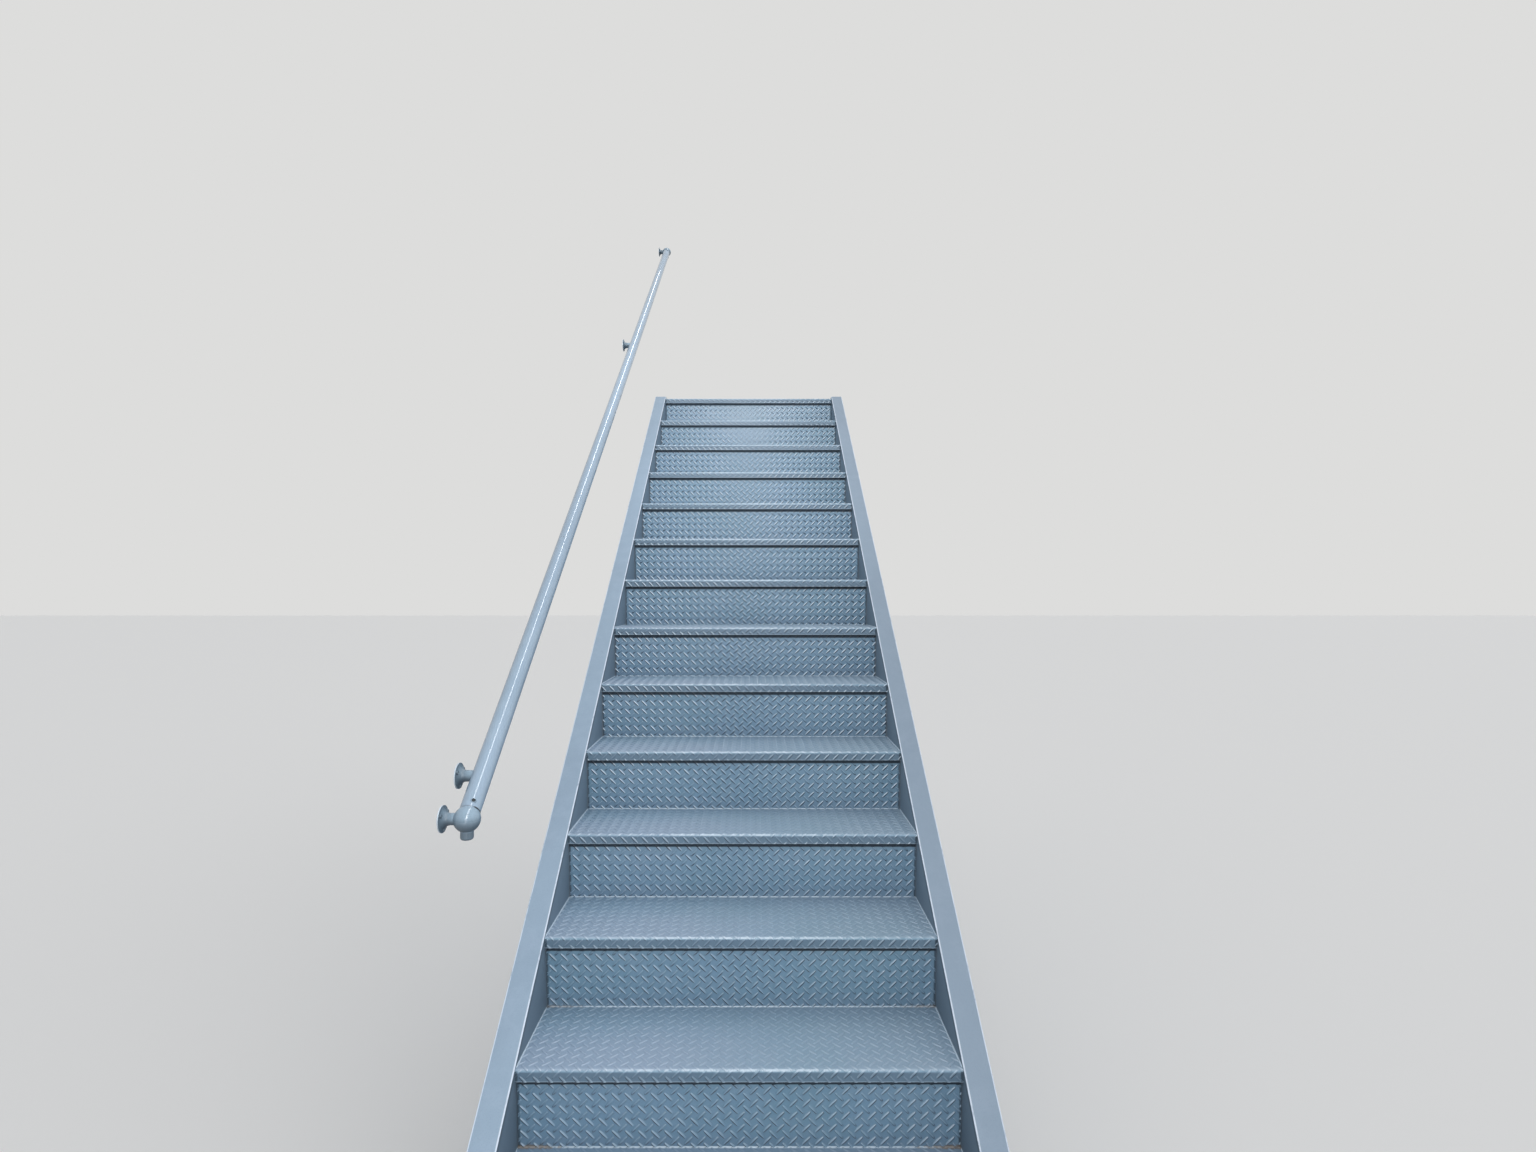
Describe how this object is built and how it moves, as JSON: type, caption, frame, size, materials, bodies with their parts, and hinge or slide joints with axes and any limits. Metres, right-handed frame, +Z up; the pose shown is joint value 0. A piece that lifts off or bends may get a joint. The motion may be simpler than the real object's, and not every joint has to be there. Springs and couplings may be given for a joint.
{
  "type": "fire escape stair",
  "caption": "Straight painted steel fire escape stair: channel stringers, checker plate treads with folded nosings, closed sloping risers and one wall handrail.",
  "frame": {"origin": "on the ground, in the middle of the underside of the turned foot of the first riser, half way between the stringers", "axes": "+X across the stair to the right of someone going up, +Y level in the direction of climb, +Z up"},
  "size_m": [1.1681, 3.679, 3.73],
  "materials": {
    "painted_plate": "worn blue-grey gloss paint over checker plate",
    "painted_channel": "blue-grey gloss paint with small chips",
    "painted_bracket": "blue-grey paint, satin",
    "painted_pipe": "light blue-grey gloss paint",
    "painted_casting": "light blue-grey paint over rough castings"
  },
  "bodies": {
    "root": {"tread_01": "painted_plate", "tread_02": "painted_plate", "tread_03": "painted_plate", "tread_04": "painted_plate", "tread_05": "painted_plate", "tread_06": "painted_plate", "tread_07": "painted_plate", "tread_08": "painted_plate", "tread_09": "painted_plate", "tread_10": "painted_plate", "tread_11": "painted_plate", "tread_12": "painted_plate", "tread_13": "painted_plate", "tread_14": "painted_plate", "riser_01": "painted_plate", "riser_02": "painted_plate", "riser_03": "painted_plate", "riser_04": "painted_plate", "riser_05": "painted_plate", "riser_06": "painted_plate", "riser_07": "painted_plate", "riser_08": "painted_plate", "riser_09": "painted_plate", "riser_10": "painted_plate", "riser_11": "painted_plate", "riser_12": "painted_plate", "riser_13": "painted_plate", "riser_14": "painted_plate", "left_stringer": "painted_channel", "right_stringer": "painted_channel", "left_carriers": "painted_bracket", "right_carriers": "painted_bracket", "left_base_plate": "painted_bracket", "right_base_plate": "painted_bracket", "hanger_plate": "painted_bracket", "handrail_pipe": "painted_pipe", "lower_rail_end": "painted_casting", "upper_rail_end": "painted_casting", "lower_rail_bracket": "painted_casting", "upper_rail_bracket": "painted_casting"}
  },
  "joints": []
}
